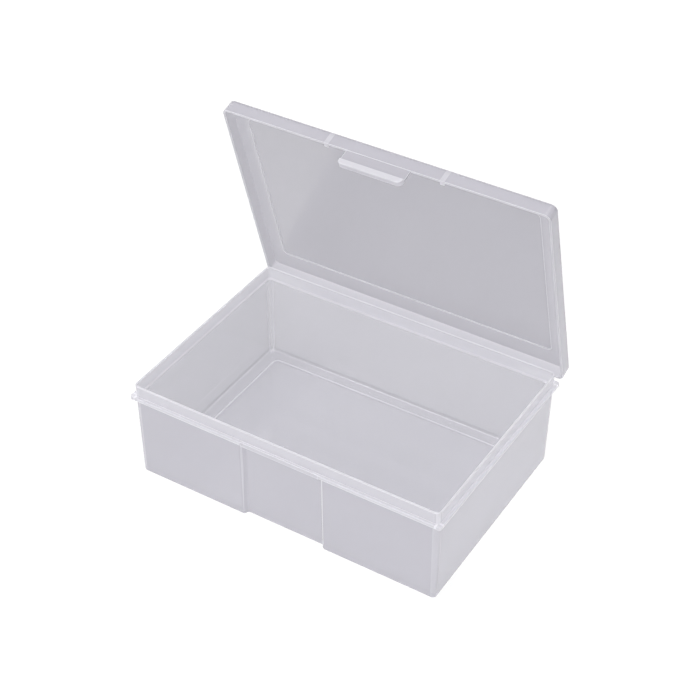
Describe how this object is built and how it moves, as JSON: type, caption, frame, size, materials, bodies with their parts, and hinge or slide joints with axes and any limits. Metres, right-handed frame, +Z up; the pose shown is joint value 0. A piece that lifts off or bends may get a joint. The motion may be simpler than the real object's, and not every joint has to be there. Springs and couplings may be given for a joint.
{
  "type": "hinged storage box",
  "caption": "Low rectangular translucent plastic storage box with a film-hinged lid, a rim flange and a front snap tab, lid standing open.",
  "frame": {"origin": "centre of the box's footprint, on the plane that its foot ring stands on", "axes": "+X to the right along the box's length, +Y from the front, where the latch tab is, to the hinge at the back, +Z up"},
  "size_m": [0.195, 0.1444, 0.1875],
  "materials": {
    "box_body": "moulded natural polypropylene, translucent, semi-gloss",
    "lid": "moulded natural polypropylene, translucent, semi-gloss",
    "latch_tab": "moulded natural polypropylene, thicker and whiter",
    "living_hinge": "thin natural polypropylene film"
  },
  "bodies": {
    "box": {"box_body": "box_body", "living_hinge": "living_hinge"},
    "lid": {"lid": "lid"},
    "latch": {"latch_tab": "latch_tab"}
  },
  "joints": [
    {"name": "lid_hinge", "type": "hinge", "parent": "box", "child": "lid", "pos_m": [0, 0.0682, 0.05385], "axis": [-1, 0, 0], "range_deg": [-73.4, 121.6], "deforming": ["living_hinge"]},
    {"name": "latch_flex", "type": "hinge", "parent": "lid", "child": "latch", "pos_m": [0, 0.03073, 0.18532], "axis": [-1, 0, 0], "range_deg": [0, 12], "stiffness_Nm_per_rad": 0.25}
  ]
}
